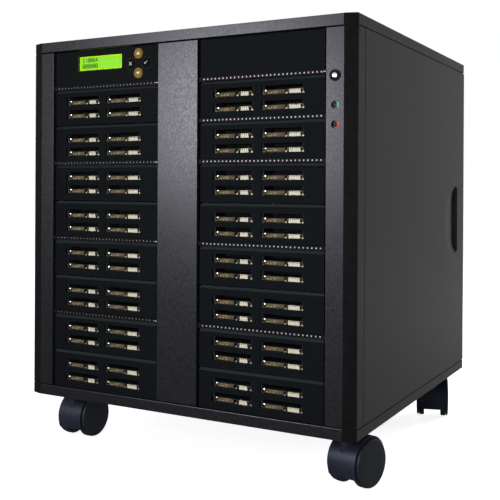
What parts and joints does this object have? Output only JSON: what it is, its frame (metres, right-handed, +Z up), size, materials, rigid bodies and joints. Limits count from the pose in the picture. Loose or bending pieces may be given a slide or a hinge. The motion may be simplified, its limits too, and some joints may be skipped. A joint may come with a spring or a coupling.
{
  "type": "memory card duplicator tower",
  "caption": "Steel tower on twin-wheel casters with two columns of drive bays holding card-reader faces, a display panel with push buttons, a power button and slide-off side panels.",
  "frame": {"origin": "on the floor under the middle of the bounding box", "axes": "+X to the machine's right seen from the front, +Y to the rear, +Z up; the front faces -Y"},
  "size_m": [0.4156, 0.402, 0.475],
  "materials": {
    "cabinet_paint": "satin powder coat",
    "bezel_charcoal": "fine speckled texture",
    "corner_black": "smooth",
    "bay_black": "fine texture",
    "vent_black": "fine texture",
    "display": "lit display behind glass",
    "board_green": "solder mask",
    "key_gold": "satin gold",
    "key_black": "smooth",
    "switch_black": "smooth",
    "button_chrome": "polished",
    "lens_green": "clear tinted",
    "lens_red": "clear tinted",
    "socket_black": "moulded",
    "socket_ivory": "moulded",
    "spring_nickel": "nickel plated",
    "contact_gold": "gold flashed",
    "mark_white": "printed ink",
    "shield_bronze": "rolled sheet",
    "cage_zinc": "zinc plated",
    "supply_steel": "zinc plated",
    "fan_black": "moulded",
    "inlet_black": "moulded",
    "sleeve_steel": "zinc plated",
    "hood_plastic": "moulded nylon",
    "pin_steel": "turned",
    "wheel_plastic": "moulded nylon"
  },
  "bodies": {
    "cabinet": {"base_pan": "cabinet_paint", "top_cover": "cabinet_paint", "front_frame": "cabinet_paint", "rear_panel": "cabinet_paint", "top_rail": "bezel_charcoal", "bottom_rail": "bezel_charcoal", "left_stile": "bezel_charcoal", "centre_pillar": "bezel_charcoal", "right_stile": "bezel_charcoal", "corner_bars": "corner_black", "vent_strips": "vent_black", "control_panel": "bay_black", "blank_panel": "bay_black", "display_module": "display", "control_board": "board_green", "reader_boards": "board_green", "controller_board": "board_green", "power_switch": "switch_black", "power_lamp": "lens_green", "activity_lamp": "lens_red", "card_faces_left_1": "bay_black", "card_faces_left_2": "bay_black", "card_faces_left_3": "bay_black", "card_faces_left_4": "bay_black", "card_faces_right_1": "bay_black", "card_faces_right_2": "bay_black", "card_faces_right_3": "bay_black", "card_faces_right_4": "bay_black", "card_faces_right_5": "bay_black", "card_sockets": "socket_black", "socket_shields": "shield_bronze", "drive_cages": "cage_zinc", "power_supply": "supply_steel", "power_inlet": "inlet_black", "caster_sockets": "sleeve_steel"},
    "button_up": {"button_up": "key_gold"},
    "button_down": {"button_down": "key_gold"},
    "button_cancel": {"button_cancel": "key_black"},
    "button_accept": {"button_accept": "key_black"},
    "power_button": {"power_button": "button_chrome"},
    "power_rocker": {"power_rocker": "key_black"},
    "psu_fan": {"psu_fan": "fan_black"},
    "left_panel": {"left_panel": "cabinet_paint"},
    "right_panel": {"right_panel": "cabinet_paint"},
    "caster_fl": {"caster_fl_hood": "hood_plastic", "caster_fl_pins": "pin_steel"},
    "caster_fl_wheel_l": {"caster_fl_wheel_l": "wheel_plastic"},
    "caster_fl_wheel_r": {"caster_fl_wheel_r": "wheel_plastic"},
    "caster_fr": {"caster_fr_hood": "hood_plastic", "caster_fr_pins": "pin_steel"},
    "caster_fr_wheel_l": {"caster_fr_wheel_l": "wheel_plastic"},
    "caster_fr_wheel_r": {"caster_fr_wheel_r": "wheel_plastic"},
    "caster_rl": {"caster_rl_hood": "hood_plastic", "caster_rl_pins": "pin_steel"},
    "caster_rl_wheel_l": {"caster_rl_wheel_l": "wheel_plastic"},
    "caster_rl_wheel_r": {"caster_rl_wheel_r": "wheel_plastic"},
    "caster_rr": {"caster_rr_hood": "hood_plastic", "caster_rr_pins": "pin_steel"},
    "caster_rr_wheel_l": {"caster_rr_wheel_l": "wheel_plastic"},
    "caster_rr_wheel_r": {"caster_rr_wheel_r": "wheel_plastic"}
  },
  "joints": [
    {"name": "up_press", "type": "slide", "parent": "cabinet", "child": "button_up", "axis": [0, 1, 0], "range_m": [0, 0.0008], "stiffness_N_per_m": 1500},
    {"name": "down_press", "type": "slide", "parent": "cabinet", "child": "button_down", "axis": [0, 1, 0], "range_m": [0, 0.0008], "stiffness_N_per_m": 1500},
    {"name": "cancel_press", "type": "slide", "parent": "cabinet", "child": "button_cancel", "axis": [0, 1, 0], "range_m": [0, 0.0008], "stiffness_N_per_m": 1500},
    {"name": "accept_press", "type": "slide", "parent": "cabinet", "child": "button_accept", "axis": [0, 1, 0], "range_m": [0, 0.0008], "stiffness_N_per_m": 1500},
    {"name": "power_press", "type": "slide", "parent": "cabinet", "child": "power_button", "axis": [0, 1, 0], "range_m": [0, 0.002], "stiffness_N_per_m": 1000},
    {"name": "rocker_tilt", "type": "hinge", "parent": "cabinet", "child": "power_rocker", "pos_m": [-0.0515, 0.193, 0.135], "axis": [1, 0, 0], "range_deg": [-14, 0]},
    {"name": "fan_spin", "type": "hinge", "parent": "cabinet", "child": "psu_fan", "pos_m": [-0.1255, 0.1838, 0.118], "axis": [0, 1, 0], "continuous": true},
    {"name": "left_panel_slide", "type": "slide", "parent": "cabinet", "child": "left_panel", "axis": [0, 1, 0], "range_m": [0, 0.02]},
    {"name": "right_panel_slide", "type": "slide", "parent": "cabinet", "child": "right_panel", "axis": [0, 1, 0], "range_m": [0, 0.02]},
    {"name": "fl_swivel", "type": "hinge", "parent": "cabinet", "child": "caster_fl", "pos_m": [-0.178, -0.1545, 0.061], "axis": [0, 0, 1], "continuous": true},
    {"name": "fl_wheel_l_spin", "type": "hinge", "parent": "caster_fl", "child": "caster_fl_wheel_l", "pos_m": [-0.178, -0.136, 0.025], "axis": [1, 0, 0], "continuous": true},
    {"name": "fl_wheel_r_spin", "type": "hinge", "parent": "caster_fl", "child": "caster_fl_wheel_r", "pos_m": [-0.178, -0.136, 0.025], "axis": [1, 0, 0], "continuous": true},
    {"name": "fr_swivel", "type": "hinge", "parent": "cabinet", "child": "caster_fr", "pos_m": [0.178, -0.1545, 0.061], "axis": [0, 0, 1], "continuous": true},
    {"name": "fr_wheel_l_spin", "type": "hinge", "parent": "caster_fr", "child": "caster_fr_wheel_l", "pos_m": [0.18248, -0.13655, 0.025], "axis": [0.9703, -0.2419, 0], "continuous": true},
    {"name": "fr_wheel_r_spin", "type": "hinge", "parent": "caster_fr", "child": "caster_fr_wheel_r", "pos_m": [0.18248, -0.13655, 0.025], "axis": [0.9703, -0.2419, 0], "continuous": true},
    {"name": "rl_swivel", "type": "hinge", "parent": "cabinet", "child": "caster_rl", "pos_m": [-0.178, 0.1495, 0.061], "axis": [0, 0, 1], "continuous": true},
    {"name": "rl_wheel_l_spin", "type": "hinge", "parent": "caster_rl", "child": "caster_rl_wheel_l", "pos_m": [-0.18248, 0.16745, 0.025], "axis": [0.9703, 0.2419, 0], "continuous": true},
    {"name": "rl_wheel_r_spin", "type": "hinge", "parent": "caster_rl", "child": "caster_rl_wheel_r", "pos_m": [-0.18248, 0.16745, 0.025], "axis": [0.9703, 0.2419, 0], "continuous": true},
    {"name": "rr_swivel", "type": "hinge", "parent": "cabinet", "child": "caster_rr", "pos_m": [0.178, 0.1495, 0.061], "axis": [0, 0, 1], "continuous": true},
    {"name": "rr_wheel_l_spin", "type": "hinge", "parent": "caster_rr", "child": "caster_rr_wheel_l", "pos_m": [0.17259, 0.16719, 0.025], "axis": [0.9563, 0.2924, 0], "continuous": true},
    {"name": "rr_wheel_r_spin", "type": "hinge", "parent": "caster_rr", "child": "caster_rr_wheel_r", "pos_m": [0.17259, 0.16719, 0.025], "axis": [0.9563, 0.2924, 0], "continuous": true}
  ]
}
